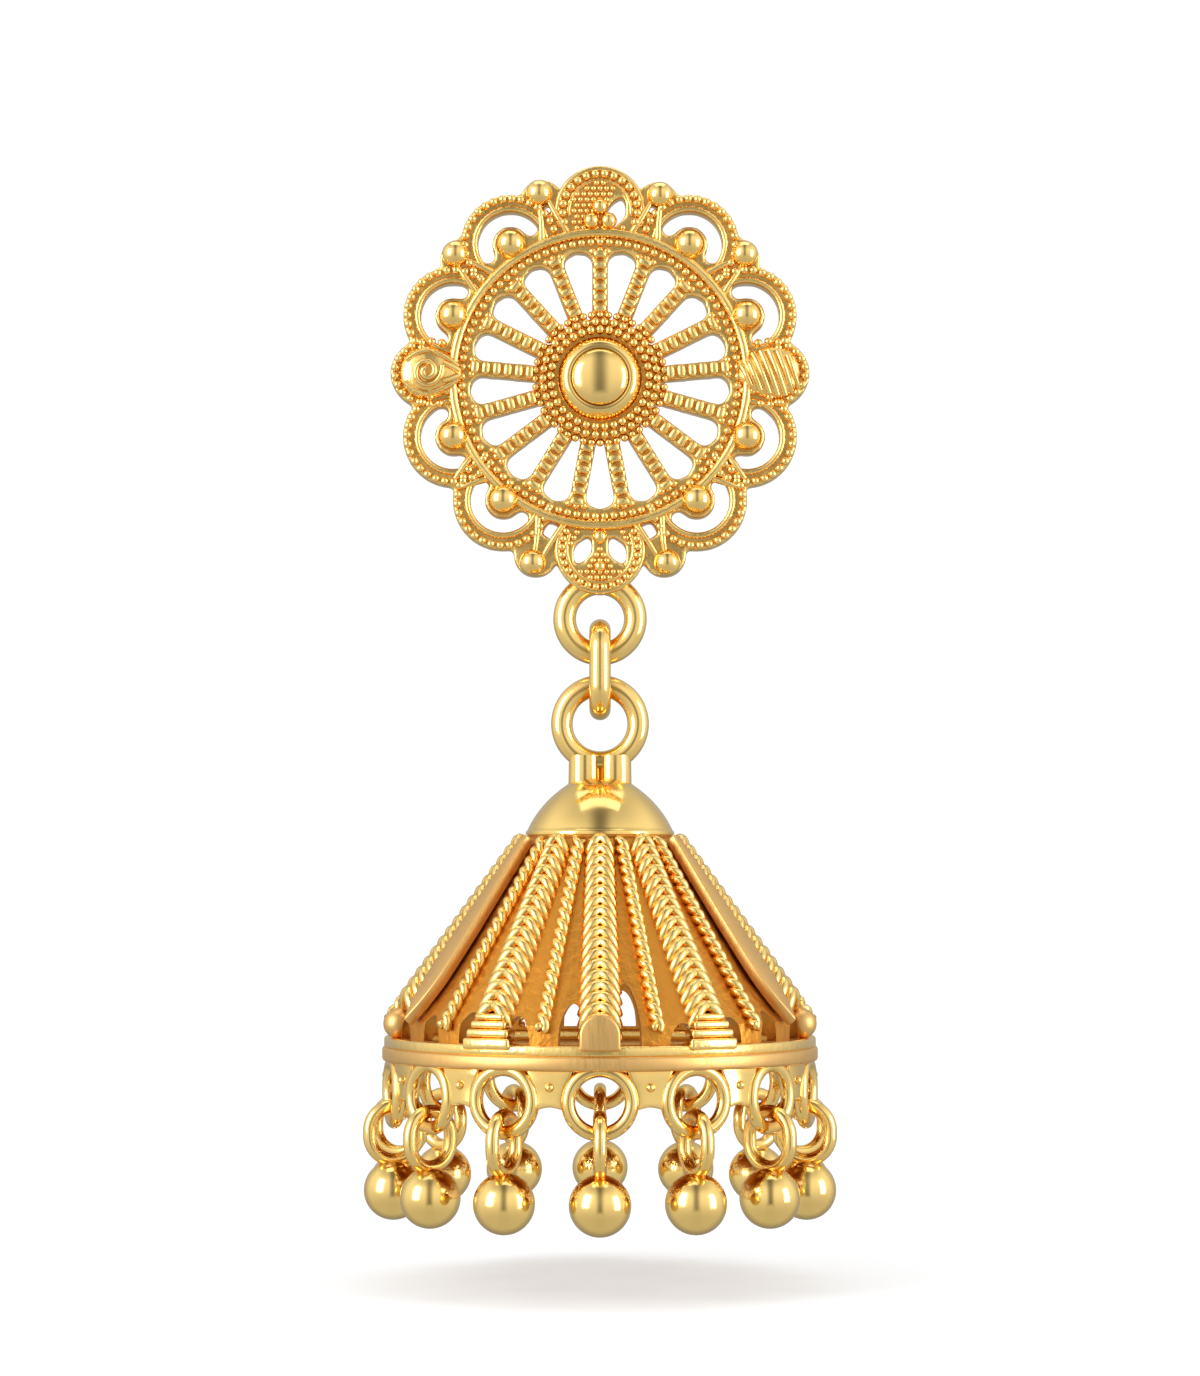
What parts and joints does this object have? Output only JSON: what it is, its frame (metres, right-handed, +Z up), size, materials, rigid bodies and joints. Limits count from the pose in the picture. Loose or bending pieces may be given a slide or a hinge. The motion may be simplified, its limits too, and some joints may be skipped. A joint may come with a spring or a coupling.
{
  "type": "jhumka earring, one of a pair",
  "caption": "Gold-coloured jhumka earring: pierced round rosette on an ear post, oval link and a ribbed conical bell hung with small ball drops.",
  "frame": {"origin": "on the ear post's axis, in the plane of the rosette's flat back", "axes": "+Z up, +Y from the rosette's back along the ear post, +X to the right of someone facing the rosette"},
  "size_m": [0.019, 0.0207, 0.0431],
  "materials": {
    "cast_gold": "gold-plated cast brass, beaded and softly polished",
    "polished_gold": "gold-plated brass, polished",
    "satin_gold": "gold-plated brass, satin"
  },
  "bodies": {
    "stud": {"rosette": "cast_gold", "centre_stud": "polished_gold"},
    "link": {"drop_link": "polished_gold"},
    "bell": {"bell_cap": "polished_gold", "bell_skirt": "cast_gold", "bell_rim": "satin_gold", "drop_01": "polished_gold", "drop_02": "polished_gold", "drop_03": "polished_gold", "drop_04": "polished_gold", "drop_05": "polished_gold", "drop_06": "polished_gold", "drop_07": "polished_gold", "drop_08": "polished_gold", "drop_09": "polished_gold", "drop_10": "polished_gold", "drop_11": "polished_gold", "drop_12": "polished_gold", "drop_13": "polished_gold", "drop_14": "polished_gold"}
  },
  "joints": [
    {"name": "link_swing", "type": "hinge", "parent": "stud", "child": "link", "pos_m": [0, -0.00045, -0.01136], "axis": [1, 0, 0], "range_deg": [-60, 60]},
    {"name": "bell_swing", "type": "hinge", "parent": "link", "child": "bell", "pos_m": [0, -0.00045, -0.01365], "axis": [0, 1, 0], "range_deg": [-45, 45]}
  ]
}
